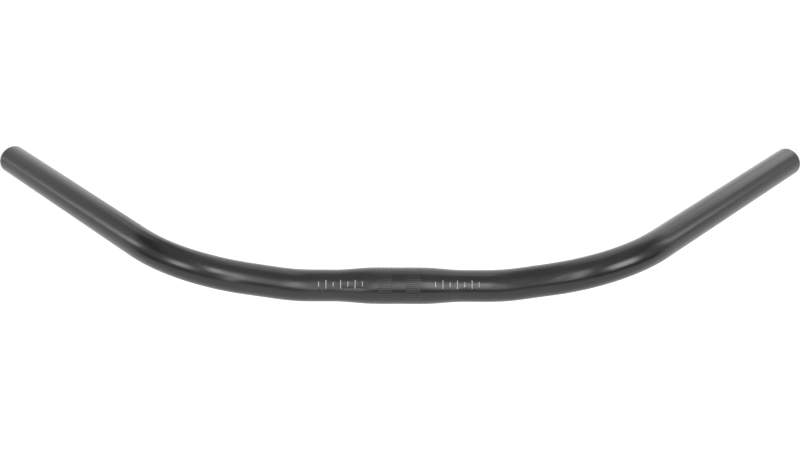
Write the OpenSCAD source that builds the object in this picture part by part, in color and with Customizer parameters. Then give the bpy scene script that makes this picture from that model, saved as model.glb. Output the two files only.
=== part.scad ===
// Trekking handlebar: one aluminium tube, swaged wider where the stem clamps it, knurled there,
// and bent twice on each side so that level grips sweep back to the rider.
// The origin is the middle of the clamp seat. X runs along the seat, +X on the rider's left,
// Y points back to the rider and Z up. All sizes are in millimetres.

/* [Clamp seat] */
// Outer diameter where the stem holds the bar
seat_d = 25.4; // [24:0.1:31.8]
// Length of the seat at its full diameter
seat_length = 32; // [32:1:60]
// Wall of the tube under the seat, thickened as the tube is drawn
seat_wall = 2.4; // [1.8:0.1:3.2]
// Length of the swaged taper on each side of the seat
taper_length = 29; // [14:1:40]

/* [Tube] */
// Outer diameter of the tube outside the seat, which grips and levers fit
tube_d = 22.2; // [20:0.1:23.8]
// Wall of the tube outside the seat
tube_wall = 2.2; // [1.4:0.1:3]

/* [Bends] */
// Straight tube between each taper and the first bend
lead_length = 15; // [4:1:60]
// Radius of the bending die, to the tube's centre line
bend_radius = 92; // [50:1:140]
// First bend, which lifts the arm and leans it forward
rise_angle = 15.3; // [5:0.1:40]
// Straight tube between the two bends
shoulder_length = 20.5; // [5:0.5:80]
// Second bend, which sweeps the arm back
sweep_angle = 54.8; // [20:0.1:90]
// Thinning of the wall at each surface where the die draws the tube round a bend
die_draw = 0.05; // [0.05:0.01:0.2]
// Turn of the tube about its own axis in the bender between the two bends
plane_turn = 127; // [90:1:170]
// Straight end of each arm, which holds the grip, the brake lever and the shifter
grip_length = 185; // [120:1:260]

/* [Knurling] */
// Width of each knurled band along the seat
band_width = 9.8; // [5:0.1:11]
// Plain strip between the two bands
band_gap = 9.6; // [4:0.1:9.8]
// Grooves round the tube in each band
groove_count = 52; // [30:1:60]
// Width of one groove at the surface
groove_width = 0.9; // [0.4:0.05:1.2]
// Depth of one groove
groove_depth = 0.1; // [0.1:0.05:0.4]

/* [Ends] */
// Deburred edge round the outside and the inside of each end
end_chamfer = 0.5; // [0.2:0.1:0.6]

/* [Hidden] */
// Facets round the tube, and round one whole turn of a bend
$fn = 96;
tube_facets = $fn;
bend_facets = 200;
// Cones that follow the curve of each taper
taper_steps = 12;
// Arc by which a bend is drawn too long before it is trimmed
trim_angle = 4;

seat_r = seat_d / 2;
seat_bore_r = seat_r - seat_wall;
tube_r = tube_d / 2;
tube_bore_r = tube_r - tube_wall;
body_half = seat_length / 2 + taper_length;

// The grips come out level when the whole arm is rolled by this angle about X. The three terms
// are the grip's direction after both bends, before that roll.
grip_back = sin(rise_angle) * cos(sweep_angle) + cos(rise_angle) * sin(sweep_angle) * cos(plane_turn);
grip_down = sin(sweep_angle) * sin(plane_turn);
level_roll = atan2(grip_down, grip_back);

// Cuts run this far past the surface, and a groove's flanks keep their slope up to there
clear = 1;
groove_top = groove_width / 2 * (groove_depth + clear) / groove_depth;
band_offset = (band_gap + band_width) / 2;

// Straight stretch of a round bar along +X, with what follows placed at its far end
module straight(r, length) {
    rotate([-90, 0, -90]) cylinder(r = r, h = length);
    translate([length, 0, 0]) children();
}

// Where a stretch goes on after a bend by this angle towards +Y
module after_bend(angle) {
    translate([0, bend_radius, 0]) rotate([0, 0, angle]) translate([0, -bend_radius, 0]) children();
}

// Bend of a round bar from +X towards +Y, with what follows placed at its far end. The arc is
// drawn a little too long and trimmed square there, so that the next stretch meets it face to face.
module bend(r, angle) {
    difference() {
        translate([0, bend_radius, 0]) rotate([0, 0, -90])
            rotate_extrude(angle = angle + trim_angle, $fn = bend_facets)
                translate([bend_radius, 0]) circle(r = r, $fn = tube_facets);
        after_bend(angle) translate([0, -seat_d, -seat_d]) cube(2 * seat_d);
    }
    after_bend(angle) children();
}

// Round bar that follows one arm from the taper to the end of the grip, with its own radius
// where it is straight and where it is bent
module arm(r, bent_r) {
    straight(r, lead_length)
        bend(bent_r, rise_angle)
            straight(r, shoulder_length)
                rotate([-plane_turn, 0, 0])
                    bend(bent_r, sweep_angle)
                        straight(r, grip_length - end_chamfer)
                            children();
}

// Swaged middle of a round bar, the same both ways from the origin. Each taper falls from the
// seat's radius to the tube's along half a cosine wave, so it meets both without an edge.
module swaged(seat, tube) {
    taper = [
        for (i = [0 : taper_steps])
            [tube + (seat - tube) * (1 + cos(i * 180 / taper_steps)) / 2,
             seat_length / 2 + i * taper_length / taper_steps]
    ];
    mirrored = [for (i = [taper_steps : -1 : 0]) [taper[i][0], -taper[i][1]]];
    rotate([0, 90, 0]) rotate_extrude()
        polygon(concat([[0, -body_half]], mirrored, taper, [[0, body_half]]));
}

// Both arms, each placed where the taper ends
module both_sides() {
    for (side = [0, 1]) mirror([side, 0, 0]) translate([body_half, 0, 0]) children();
}

// Outside of the bar, with its ends deburred
module outside() {
    swaged(seat_r, tube_r);
    both_sides() arm(tube_r, tube_r - die_draw)
        rotate([0, 90, 0]) cylinder(r1 = tube_r, r2 = tube_r - end_chamfer, h = end_chamfer);
}

// Bore of the bar, which opens at both ends
module bore() {
    swaged(seat_bore_r, tube_bore_r);
    both_sides() arm(tube_bore_r, tube_bore_r + die_draw)
        rotate([0, 90, 0]) {
            cylinder(r1 = tube_bore_r, r2 = tube_bore_r + end_chamfer, h = end_chamfer);
            translate([0, 0, end_chamfer]) cylinder(r = tube_bore_r + end_chamfer, h = clear);
        }
}

// Grooves of one knurled band round the seat, each a V cut along X from the surface down
module knurling() {
    rotate([90, 0, 90]) linear_extrude(band_width, center = true)
        for (i = [0 : groove_count - 1]) rotate(i * 360 / groove_count) translate([seat_r, 0])
            polygon([[-groove_depth, 0], [clear, groove_top], [clear, -groove_top]]);
}

module handlebar() {
    color("dimgray") rotate([level_roll, 0, 0]) difference() {
        outside();
        bore();
        translate([band_offset, 0, 0]) knurling();
        translate([-band_offset, 0, 0]) knurling();
    }
}

handlebar();
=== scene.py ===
import math

import bpy
import numpy as np
from mathutils import Matrix, Vector


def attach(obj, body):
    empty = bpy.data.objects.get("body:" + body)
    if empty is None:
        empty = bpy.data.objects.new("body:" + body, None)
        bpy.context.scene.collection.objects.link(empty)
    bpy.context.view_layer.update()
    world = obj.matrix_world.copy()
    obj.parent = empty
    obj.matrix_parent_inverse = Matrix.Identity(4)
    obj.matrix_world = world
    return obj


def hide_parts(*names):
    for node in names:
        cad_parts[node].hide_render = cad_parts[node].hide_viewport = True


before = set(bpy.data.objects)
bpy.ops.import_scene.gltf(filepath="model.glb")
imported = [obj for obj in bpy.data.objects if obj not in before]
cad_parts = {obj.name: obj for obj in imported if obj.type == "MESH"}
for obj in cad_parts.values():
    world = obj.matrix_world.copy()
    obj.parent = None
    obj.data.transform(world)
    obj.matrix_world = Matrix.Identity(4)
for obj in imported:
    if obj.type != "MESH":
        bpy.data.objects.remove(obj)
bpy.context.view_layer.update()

# The bar: one aluminium tube, drawn to its thickness and left wider in the middle, where the
# stem clamps it. It is bent twice on each side over a die of one radius, so that the grips come
# out level and sweep back. It is blasted with fine beads and anodised black, inside and out.
seat_radius, seat_bore = 0.0127, 0.0103
tube_radius, tube_bore = 0.0111, 0.0089
seat_half, taper_length, lead_length = 0.016, 0.029, 0.015
bend_radius = 0.092
rise_angle, sweep_angle = math.radians(15.3), math.radians(54.8)
shoulder_length, grip_length = 0.0205, 0.185
plane_turn = math.radians(127)
# Share by which the tube is flattened in the plane of a bend, and how far it takes to fade
bend_flattening, flattening_fade = 0.008, 0.009

# The grips are level when the arm is rolled about the seat by this angle
grip_back = (math.sin(rise_angle) * math.cos(sweep_angle)
             + math.cos(rise_angle) * math.sin(sweep_angle) * math.cos(plane_turn))
level_roll = math.atan2(math.sin(sweep_angle) * math.sin(plane_turn), grip_back)

# Each stretch of an arm in turn: its length, the angle it bends through, and the side that it
# bends to, as an angle round the tube
lead_end = seat_half + taper_length + lead_length
stretches = (
    (lead_end, 0, 0),
    (bend_radius * rise_angle, rise_angle, 0),
    (shoulder_length, 0, 0),
    (bend_radius * sweep_angle, sweep_angle, -plane_turn),
    (grip_length, 0, 0),
)
arm_length = sum(length for length, _, _ in stretches)
first_bend = (lead_end, lead_end + stretches[1][0])
second_bend = (first_bend[1] + shoulder_length, arm_length - grip_length)


def tube_frame(along):
    """Centre of the tube and its two cross axes, this far along the tube from the middle."""
    place, ahead = Vector(), Vector((1, 0, 0))
    side = Vector((0, math.cos(level_roll), math.sin(level_roll)))
    over = ahead.cross(side)
    for length, angle, lean in stretches:
        step = min(along, length)
        if angle:
            inward = side * math.cos(lean) + over * math.sin(lean)
            turn = angle * step / length
            place = place + bend_radius * (math.sin(turn) * ahead + (1 - math.cos(turn)) * inward)
            spin = Matrix.Rotation(turn, 3, ahead.cross(inward))
            ahead, side, over = spin @ ahead, spin @ side, spin @ over
        else:
            place = place + ahead * step
        along -= step
        if along <= 0:
            break
    return place, side, over


def swaged(along, seat, tube):
    """Radius on the way from the seat to the tube, which follows half a cosine wave."""
    share = min(max((along - seat_half) / taper_length, 0), 1)
    return tube + (seat - tube) * (1 + math.cos(math.pi * share)) / 2


def flattened(along, angles):
    """Share by which each side of the tube is pulled in or pushed out, here in a bend."""
    change = np.zeros(len(angles))
    for (start, end), lean in ((first_bend, 0), (second_bend, -plane_turn)):
        inside = min(along - start, end - along) / flattening_fade
        weight = 0.5 + 0.5 * math.sin(math.pi / 2 * min(max(inside, -1), 1))
        change -= bend_flattening * weight * np.cos(2 * (angles - lean))
    return change


# Straight knurling, rolled into the seat in two bands, keeps the bar from turning in the stem.
# Each groove is pressed in softly, a little deeper at both ends, and the metal beside it rises.
groove_count, groove_width, groove_depth = 52, 0.0008, 0.00005
crest_rise, crest_blend = 0.000008, 0.00012
end_depth, end_reach = 0.00015, 0.0005
band_start, band_end, run_out = 0.0048, 0.0146, 0.0004


def knurled(along, angles):
    """How far the surface of the seat is pressed in or raised at this place along it."""
    inside = min(along - band_start, band_end - along)
    fade = min(max(inside / run_out, 0), 1)
    depth = end_depth + (groove_depth - end_depth) * min(max((inside - run_out) / end_reach, 0), 1)
    pitch = 2 * math.pi / groove_count
    offset = np.abs((angles + pitch / 2) % pitch - pitch / 2) * seat_radius
    flank = np.clip(offset / (groove_width / 2), 0, 1)
    root = -(1 + np.cos(math.pi * flank)) / 2
    crest = np.clip((offset - groove_width / 2) / crest_blend + 0.5, 0, 1)
    return fade * fade * (3 - 2 * fade) * (depth * root + crest_rise * crest)


# The tube's wall is laid out in rings from the middle of the seat along the outside, round the
# deburred end and back through the bore. The knurled seat has the most points round it.
points_per_groove = 12
knurl_points, outside_points, bore_points = groove_count * points_per_groove, 208, 104
end_chamfer, edge_round = 0.0005, 0.00015
rings = []


def add_ring(along, radius, points, run):
    """Adds one ring: its vertices, their straightened places, and how far its profile has run."""
    place, side, over = (np.array(v) for v in tube_frame(along))
    angles = np.arange(points) * 2 * math.pi / points
    reach = radius * (1 + flattened(along, angles))
    if points == knurl_points:
        reach = reach + knurled(along, angles)
    cosine, sine = np.cos(angles), np.sin(angles)
    vertices = place + np.outer(reach * cosine, side) + np.outer(reach * sine, over)
    straight = np.column_stack([np.full(points, along), reach * cosine, reach * sine])
    rings.append((vertices, straight, run))


def spread(start, end, step):
    """Places from start up to end at about this step, without the start."""
    count = max(1, round((end - start) / step))
    return [start + (end - start) * i / count for i in range(1, count + 1)]


def ring_places(marks, steps):
    """Places from mark to mark along an arm, at the step of each stretch between two marks."""
    return [place for stretch in zip(marks, marks[1:], steps) for place in spread(*stretch)]


# The seat: a ring on each edge of a band and just outside it, and close ones where its grooves
# run out
beside_band, before_taper = 0.0002, 0.0006
run_out_places = [0.3 * run_out, 0.65 * run_out, run_out, run_out + end_reach / 2, run_out + end_reach]
seat_places = [0, band_start - beside_band, band_start]
seat_places += [band_start + place for place in run_out_places]
seat_places += [band_end - place for place in reversed(run_out_places)]
seat_places += [band_end, band_end + beside_band]
for along in seat_places:
    add_ring(along, seat_radius, knurl_points, along)

# The outside: from the seat through the taper and both bends to just before the end
marks = (seat_half, seat_half + taper_length, *first_bend, *second_bend)
grip_start, last_mark = second_bend[1] + 0.012, arm_length - 3 * end_chamfer
outside_steps = (0.00145, 0.0025, 0.002, 0.0025, 0.0022, 0.003, 0.012)
outside_places = [seat_half - before_taper, seat_half]
outside_places += ring_places((*marks, grip_start, last_mark), outside_steps)
outside_places += [arm_length - end_chamfer - edge_round]
for along in outside_places:
    add_ring(along, swaged(along, seat_radius, tube_radius), outside_points, along)

# The end: a small chamfer outside and inside, with its edges broken. Each place is how far back
# from the end it lies, and its radius.
outer_corners = (
    (end_chamfer - edge_round, tube_radius - edge_round),
    (edge_round, tube_radius - end_chamfer + edge_round),
    (0, tube_radius - end_chamfer - edge_round),
)
inner_corners = (
    (0, tube_bore + end_chamfer + edge_round),
    (edge_round, tube_bore + end_chamfer - edge_round),
    (end_chamfer - edge_round, tube_bore + edge_round),
    (end_chamfer + edge_round, tube_bore),
)
corner_run = 0.0006
run = arm_length
for points, corners in ((outside_points, outer_corners), (bore_points, inner_corners)):
    for back, radius in corners:
        run += corner_run
        add_ring(arm_length - back, radius, points, run)
last_corner = len(rings) - 1

# The bore: back to the middle, with fewer rings
bore_steps = (0.0025, 0.008, 0.004, 0.006, 0.004, 0.018)
for along in ring_places((*marks, last_mark), bore_steps)[::-1] + [seat_half, 0]:
    add_ring(along, swaged(along, seat_bore, tube_bore), bore_points, along)

# The other arm is the mirror image of this one, so the wall closes on itself. Each ring of the
# wall also says which arm it is on, 0 or 1, and whether it is in the bore.
mirror = np.array([-1, 1, 1])
wall = [(v, p, run, 0, i > last_corner) for i, (v, p, run) in enumerate(rings)]
wall += [(v * mirror, p * mirror, run, 1, in_bore) for v, p, run, _, in_bore in wall[-2:0:-1]]
starts = np.cumsum([0] + [len(ring[0]) for ring in wall])

# The wall is unrolled into four strips of the bake's map: outside and bore of each arm. A strip
# is as long as an arm, with a little room for the corners of its end.
map_margin, corner_room = 0.004, 0.005
strip_length = (arm_length + corner_room) / (1 - 2 * map_margin)
strip_height = {False: 0.272, True: 0.212}
strip_base = {}
base = map_margin
for in_bore, height in strip_height.items():
    for arm in (0, 1):
        strip_base[arm, in_bore] = base
        base += height + 2 * map_margin

faces, map_places = [], []
for i, (vertices, _, run, arm, in_bore) in enumerate(wall):
    j = (i + 1) % len(wall)
    next_vertices, _, next_run, next_arm, next_in_bore = wall[j]
    near, far = len(vertices), len(next_vertices)
    coarse = min(near, far)
    strip = max(arm, next_arm), in_bore or next_in_bore
    base, height = strip_base[strip], strip_height[strip[1]]
    for k in range(coarse):
        here = [k * near // coarse + n for n in range(near // coarse + 1)]
        there = [k * far // coarse + n for n in range(far // coarse, -1, -1)]
        faces.append([int(starts[i]) + n % near for n in here]
                     + [int(starts[j]) + n % far for n in there])
        map_places += [(map_margin + run / strip_length, base + height * n / near) for n in here]
        map_places += [(map_margin + next_run / strip_length, base + height * n / far) for n in there]

mesh = bpy.data.meshes.new("handlebar_tube")
mesh.from_pydata(np.concatenate([ring[0] for ring in wall]).tolist(), [], faces)
mesh.shade_smooth()
straight = np.concatenate([ring[1] for ring in wall]).astype(np.float32)
straightened = mesh.attributes.new("straightened", "FLOAT_VECTOR", "POINT")
straightened.data.foreach_set("vector", straight.ravel())
mesh.uv_layers.new(name="OFBake").data.foreach_set("uv", np.array(map_places, np.float32).ravel())
handlebar = bpy.data.objects.new("handlebar_tube", mesh)
bpy.context.scene.collection.objects.link(handlebar)


def blank_tree(owner):
    """The node tree of a new material or world, emptied."""
    owner.use_nodes = True
    owner.node_tree.nodes.clear()
    return owner.node_tree


def put(tree, kind, inputs=(), **settings):
    """Puts a node in a tree. An input is given as a value, or as the socket that feeds it."""
    node = tree.nodes.new(kind)
    for name, value in settings.items():
        setattr(node, name, value)
    for name, value in dict(inputs).items():
        if isinstance(value, bpy.types.NodeSocket):
            tree.links.new(value, node.inputs[name])
        else:
            node.inputs[name].default_value = value
    return node


def ramp(tree, value, low, high, out_low=0.0, out_high=1.0):
    """A value that goes evenly from one number to another and stays there."""
    return put(tree, "ShaderNodeMapRange", {"Value": value, "From Min": low, "From Max": high,
                                            "To Min": out_low, "To Max": out_high}).outputs[0]


def sums(tree, operation, first, second=0.0):
    """One step of arithmetic between two values."""
    return put(tree, "ShaderNodeMath", {0: first, 1: second}, operation=operation).outputs[0]


def mixed(tree, share, first, second):
    """A colour between two others, the first where the share is zero."""
    return put(tree, "ShaderNodeMix", {0: share, 6: first, 7: second}, data_type="RGBA").outputs[2]


# Blasted aluminium and baked ink both have a fine grain, with broad clouds that vary the surface
grain_group = bpy.data.node_groups.new("surface_grain", "ShaderNodeTree")
for name, kind in (("Place", "Vector"), ("Specks per metre", "Float"), ("Clouds per metre", "Float")):
    grain_group.interface.new_socket(name, in_out="INPUT", socket_type="NodeSocket" + kind)
for name in ("Specks", "Clouds"):
    grain_group.interface.new_socket(name, in_out="OUTPUT", socket_type="NodeSocketFloat")
given = put(grain_group, "NodeGroupInput").outputs
specks, clouds = (
    put(grain_group, "ShaderNodeTexNoise",
        {"Vector": given["Place"], "Scale": given[scale], "Detail": detail, "Roughness": 0.6})
    for scale, detail in (("Specks per metre", 2.0), ("Clouds per metre", 4.0))
)
put(grain_group, "NodeGroupOutput", {"Specks": specks.outputs[0], "Clouds": clouds.outputs[0]})

# The bar's finish: black dye sealed in the anodised skin, satin, with the fine lines of drawing
# along the tube under the blasted grain. The knurl's crests and the deburred edges are rubbed
# brighter.
dye_deep, dye_thin = (0.01, 0.01, 0.0103, 1), (0.015, 0.015, 0.0153, 1)
rubbed_colour = (0.019, 0.019, 0.0195, 1)
black = bpy.data.materials.new("black_anodised")
tree = blank_tree(black)
place = put(tree, "ShaderNodeAttribute", attribute_name="straightened").outputs["Vector"]
grain = put(tree, "ShaderNodeGroup", {"Place": place, "Specks per metre": 4500, "Clouds per metre": 45},
            node_tree=grain_group).outputs
stretched = put(tree, "ShaderNodeVectorMath", {0: place, 1: (0.03, 1, 1)}, operation="MULTIPLY")
drawing = put(tree, "ShaderNodeTexNoise", {"Vector": stretched.outputs[0], "Scale": 1400.0,
                                           "Detail": 3.0, "Roughness": 0.6}).outputs[0]
axes = put(tree, "ShaderNodeSeparateXYZ", {0: place}).outputs
reach = sums(tree, "SQRT", sums(tree, "ADD", sums(tree, "MULTIPLY", axes["Y"], axes["Y"]),
                               sums(tree, "MULTIPLY", axes["Z"], axes["Z"])))
crests = ramp(tree, reach, seat_radius + 0.4 * crest_rise, seat_radius + crest_rise)
edges = ramp(tree, sums(tree, "ABSOLUTE", axes["X"]), arm_length - 1.3 * end_chamfer,
             arm_length - 0.8 * end_chamfer)
clouded = ramp(tree, grain["Clouds"], 0.3, 0.7)
rubbed = sums(tree, "MULTIPLY", sums(tree, "MAXIMUM", crests, edges),
              ramp(tree, grain["Clouds"], 0.35, 0.6, 0.35, 1.0))
colour = mixed(tree, rubbed, mixed(tree, clouded, dye_deep, dye_thin), rubbed_colour)
matt = sums(tree, "ADD", ramp(tree, clouded, 0.0, 1.0, 0.22, 0.27),
            ramp(tree, drawing, 0.3, 0.7, -0.02, 0.02))
matt = sums(tree, "SUBTRACT", matt, ramp(tree, rubbed, 0.0, 1.0, 0.0, 0.05))
height = sums(tree, "ADD", sums(tree, "MULTIPLY", drawing, 0.6),
              sums(tree, "MULTIPLY", grain["Specks"], 0.4))
relief = put(tree, "ShaderNodeBump", {"Strength": 0.25, "Distance": 0.00002, "Height": height}).outputs[0]
skin = put(tree, "ShaderNodeBsdfPrincipled",
           {"Base Color": colour, "Roughness": matt, "Normal": relief, "IOR": 1.5})
put(tree, "ShaderNodeOutputMaterial", {"Surface": skin.outputs[0]})
mesh.materials.append(black)

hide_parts("handlebar")
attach(handlebar, "root")

# The scales: light grey ink, printed on the tube on each side of the seat and baked, to centre
# the stem by. Each tick is a thin raised patch that follows the taper, every other one longer.
# Left and right are the rider's, so the left one is towards +X.
first_tick, tick_pitch, tick_count = 0.025, 0.005, 7
tick_width, short_tick, long_tick = 0.0005, 0.0034, 0.0058
tick_facing, tick_steps = math.radians(36), 14
ink_thickness, ink_bed, ink_thin_end = 0.00002, 0.00003, 0.4
across_tick = ((-0.5, -1), (-0.47, 0.6), (-0.38, 1), (0.38, 1), (0.47, 0.6), (0.5, -1))


def tick(middle, length, arm):
    """Vertices and faces of one printed tick, a closed patch wrapped round the tube."""
    half_angle = length / 2 / swaged(middle, seat_radius, tube_radius)
    points = len(across_tick)
    vertices, faces = [], []
    for i in range(tick_steps + 1):
        angle = tick_facing + half_angle * (2 * i / tick_steps - 1)
        thickness = ink_thickness * (1 if 0 < i < tick_steps else ink_thin_end)
        for offset, level in across_tick:
            along = middle + offset * tick_width
            lift = level * (thickness if level > 0 else ink_bed)
            reach = swaged(along, seat_radius, tube_radius) + lift
            vertices.append((arm * along, -reach * math.cos(angle), reach * math.sin(angle)))
    for i in range(tick_steps):
        for k in range(points):
            a, b = i * points + k, i * points + (k + 1) % points
            faces.append((a, b, b + points, a + points))
    faces += [tuple(range(points))[::-1], tuple(tick_steps * points + k for k in range(points))]
    return vertices, [f[::-1] for f in faces] if arm > 0 else faces


# Their ink: a dull light grey enamel that covers evenly, a little thinner in places
ink_dark, ink_light = (0.33, 0.33, 0.325, 1), (0.47, 0.47, 0.46, 1)
ink = bpy.data.materials.new("grey_ink")
tree = blank_tree(ink)
place = put(tree, "ShaderNodeTexCoord").outputs["Object"]
grain = put(tree, "ShaderNodeGroup", {"Place": place, "Specks per metre": 9000, "Clouds per metre": 900},
            node_tree=grain_group).outputs
colour = mixed(tree, ramp(tree, grain["Clouds"], 0.35, 0.65), ink_dark, ink_light)
relief = put(tree, "ShaderNodeBump", {"Strength": 0.3, "Distance": 0.00001,
                                      "Height": grain["Specks"]}).outputs[0]
skin = put(tree, "ShaderNodeBsdfPrincipled",
           {"Base Color": colour, "Normal": relief,
            "Roughness": ramp(tree, grain["Clouds"], 0.3, 0.7, 0.42, 0.55)})
put(tree, "ShaderNodeOutputMaterial", {"Surface": skin.outputs[0]})

for arm, side_name in ((1, "left"), (-1, "right")):
    vertices, faces = [], []
    for i in range(tick_count):
        made, round_it = tick(first_tick + tick_pitch * i, long_tick if i % 2 else short_tick, arm)
        faces += [[n + len(vertices) for n in face] for face in round_it]
        vertices += made
    mesh = bpy.data.meshes.new("printed_scale_" + side_name)
    mesh.from_pydata(vertices, [], faces)
    mesh.materials.append(ink)
    scale = bpy.data.objects.new("printed_scale_" + side_name, mesh)
    bpy.context.scene.collection.objects.link(scale)
    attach(scale, "root")

# The studio floor: a wide, level white sheet. The bar is hung well above it, as for a catalogue
# picture, so that its soft shadow falls far below it. The sheet glows where it is seen, whiter
# further out, and it isn't seen from underneath.
floor_level, floor_half = -0.26, 7.0
# How strongly it glows below the bar and further out, and how far off the one becomes the other
near_glow, far_glow = 0.5, 0.82
near_reach, far_reach = 1.2, 3.0


def rectangle(name, left, right, front, back, level):
    """A level rectangle as a mesh."""
    mesh = bpy.data.meshes.new(name)
    corners = [(left, front, level), (right, front, level), (right, back, level), (left, back, level)]
    mesh.from_pydata(corners, [], [(0, 1, 2, 3)])
    return mesh


def set_up(name, mesh):
    """Puts a mesh on the set as part of the studio, which isn't part of the bar."""
    prop = bpy.data.objects.new(name, mesh)
    bpy.context.scene.collection.objects.link(prop)
    return prop


def plain_light(tree, strength):
    """An even white glow of this strength."""
    return put(tree, "ShaderNodeEmission", {"Strength": strength}).outputs[0]


def seen_directly(tree):
    """One for rays from the camera, from a glossy surface or through glass, else zero."""
    rays = put(tree, "ShaderNodeLightPath").outputs
    return sums(tree, "MAXIMUM", sums(tree, "MAXIMUM", rays["Is Camera Ray"], rays["Is Glossy Ray"]),
                rays["Is Transmission Ray"])


floor_mesh = rectangle("studio_floor", -floor_half, floor_half, -floor_half, floor_half, floor_level)
white = bpy.data.materials.new("white_floor")
tree = blank_tree(white)
matt_white = put(tree, "ShaderNodeBsdfDiffuse", {"Color": (0.8, 0.8, 0.8, 1)}).outputs[0]
place = put(tree, "ShaderNodeTexCoord").outputs["Object"]
away = put(tree, "ShaderNodeVectorMath", {0: place, 1: (0, 0, floor_level)},
           operation="DISTANCE").outputs[1]
glow = sums(tree, "MULTIPLY", seen_directly(tree),
            ramp(tree, away, near_reach, far_reach, near_glow, far_glow))
lit = put(tree, "ShaderNodeAddShader", {0: matt_white, 1: plain_light(tree, glow)}).outputs[0]
under = put(tree, "ShaderNodeNewGeometry").outputs["Backfacing"]
clear = put(tree, "ShaderNodeBsdfTransparent").outputs[0]
surface = put(tree, "ShaderNodeMixShader", {0: under, 1: lit, 2: clear})
put(tree, "ShaderNodeOutputMaterial", {"Surface": surface.outputs[0]})
floor_mesh.materials.append(white)
set_up("studio_floor", floor_mesh)

# The room: white all round where it is seen or mirrored, and dimmer as a light, so that it
# fills the shadows softly
room_light, room_white = 0.25, 1.0
world = bpy.data.worlds.new("white_room")
bpy.context.scene.world = world
tree = blank_tree(world)
room = put(tree, "ShaderNodeBackground",
           {"Color": (1, 1, 1, 1),
            "Strength": ramp(tree, seen_directly(tree), 0.0, 1.0, room_light, room_white)})
put(tree, "ShaderNodeOutputWorld", {"Surface": room.outputs[0]})

# Grey cards round the set, which show only as reflections in the bar: a tall one curved round
# the front, a low darker one at its foot, a dark one high on each side, a small one close behind
# the left bend, and one overhead. In the studio, left and right are as the camera sees them.
card_steps = 24
overhead_level = 5


def toward(azimuth, elevation):
    """Direction this far round to the right from the camera's side, and above the horizon."""
    azimuth, elevation = math.radians(azimuth), math.radians(elevation)
    return Vector((math.sin(azimuth) * math.cos(elevation), -math.cos(azimuth) * math.cos(elevation),
                   math.sin(elevation)))


def grey_card(name, mesh, strength):
    """Sets up a card that is seen only by reflections, and throws no shadow."""
    card = set_up(name, mesh)
    card.visible_camera = card.visible_diffuse = False
    card.visible_shadow = card.visible_transmission = False
    paper = bpy.data.materials.new(name)
    tree = blank_tree(paper)
    put(tree, "ShaderNodeOutputMaterial", {"Surface": plain_light(tree, strength)})
    mesh.materials.append(paper)


for name, strength, radius, first, last, bottom, top in (
    ("card_front", 0.56, 3.4, -95, 95, floor_level, overhead_level),
    ("card_low", 0.1, 1.3, -85, 85, floor_level, 0.08),
    ("card_high_left", 0.02, 3.3, -150, -70, 2.75, 6.5),
    ("card_high_right", 0.18, 3.3, 70, 130, 3.2, 6.5),
    ("card_back_left", 0.3, 0.52, -160, -144, 0.2, 0.8),
):
    vertices = [radius * toward(first + (last - first) * i / card_steps, 0) + Vector((0, 0, level))
                for i in range(card_steps + 1) for level in (bottom, top)]
    mesh = bpy.data.meshes.new(name)
    mesh.from_pydata(vertices, [], [(i, i + 2, i + 3, i + 1) for i in range(0, 2 * card_steps, 2)])
    grey_card(name, mesh, strength)
grey_card("card_overhead", rectangle("card_overhead", -4, 4, -2.2, 3.6, overhead_level), 0.62)

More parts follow.
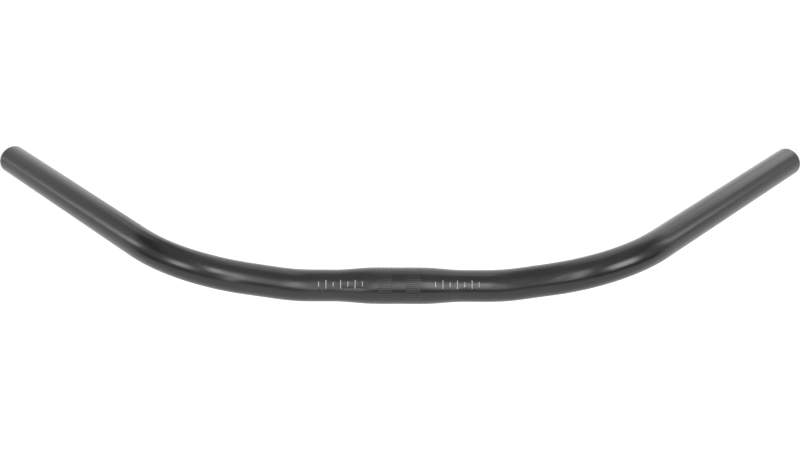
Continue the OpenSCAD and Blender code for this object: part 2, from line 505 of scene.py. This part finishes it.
# Softboxes: a pair beside the camera, small ones close to the bends and tapers, a pair further
# out, some at the sides and wide ones behind. Each is placed by where it stands in the round and
# how wide and high it looks, in degrees, then how bright it is, how far off, and from where.
for name, azimuth, elevation, wide, high, radiance, distance, seen_from in (
    ("softbox_near_left", -4, 24, 5.5, 31, 4.0, 0.9, (0, 0, 0)),
    ("softbox_near_right", 9.5, 33.5, 9.5, 36, 5.6, 2.5, (0, 0, 0)),
    ("softbox_bend_left", -6, 45, 11, 24, 8.0, 0.35, (-0.125, 0, 0)),
    ("softbox_bend_right", 11.5, 12, 15.5, 8.5, 3.3, 0.4, (0.068, 0, 0)),
    ("softbox_taper_left", 21.5, 40, 8, 26, 1.4, 0.5, (-0.075, 0, 0)),
    ("softbox_low_left", -11.5, 4.5, 5.5, 17.5, 6.0, 0.5, (-0.03, 0, 0)),
    ("softbox_far_left", -41.5, 24, 17, 22, 7.0, 2.5, (-0.15, 0, 0)),
    ("softbox_far_right", 46.5, 24, 23, 26, 7.7, 2.5, (0.15, 0, 0)),
    ("softbox_side_left", -92.5, 20.5, 13, 16, 5.2, 1.0, (-0.19, 0.03, 0.02)),
    ("softbox_strip_left", -100.5, 8.5, 5, 12, 2.6, 3.5, (-0.25, 0.1, 0.02)),
    ("softbox_side_right", 99, 24.5, 6, 25, 4.1, 1.2, (0.19, 0.03, 0.02)),
    ("softbox_back_right", 141.5, 25.5, 27.5, 27.5, 1.6, 2.5, (0.24, 0.08, 0)),
    ("softbox_back_left", -153, 16, 44, 32, 0.65, 2.5, (-0.24, 0.08, 0)),
    ("softbox_back", 171, 20, 32, 58, 0.6, 2.5, (0, 0, 0)),
    ("softbox_back_high", 161, 60, 16, 21, 1.1, 1.2, (-0.05, 0, 0)),
):
    lamp = bpy.data.lights.new(name, "AREA")
    lamp.shape = "RECTANGLE"
    lamp.size, lamp.size_y = (2 * distance * math.tan(math.radians(a / 2)) for a in (wide, high))
    lamp.energy = radiance * math.pi * lamp.size * lamp.size_y
    box = bpy.data.objects.new(name, lamp)
    box.location = Vector(seen_from) + distance * toward(azimuth, elevation)
    box.rotation_euler = (-toward(azimuth, elevation)).to_track_quat("-Z", "Y").to_euler()
    box.visible_camera = False
    bpy.context.scene.collection.objects.link(box)

# The camera: straight in front of the bar and a little under thirty degrees above it, with a
# lens about half as long again as its sensor is wide
lens = bpy.data.cameras.new("camera")
lens.lens, lens.sensor_width = 55.47, 36
lens.clip_start, lens.clip_end = 0.05, 50
camera = bpy.data.objects.new("camera", lens)
camera.location = (0.002175, -0.728118, 0.448942)
camera.rotation_euler = [math.radians(turn) for turn in (61.16298, -0.11042, 0.18685)]
bpy.context.scene.collection.objects.link(camera)
bpy.context.scene.camera = camera
bpy.context.scene.view_settings.view_transform = "Standard"
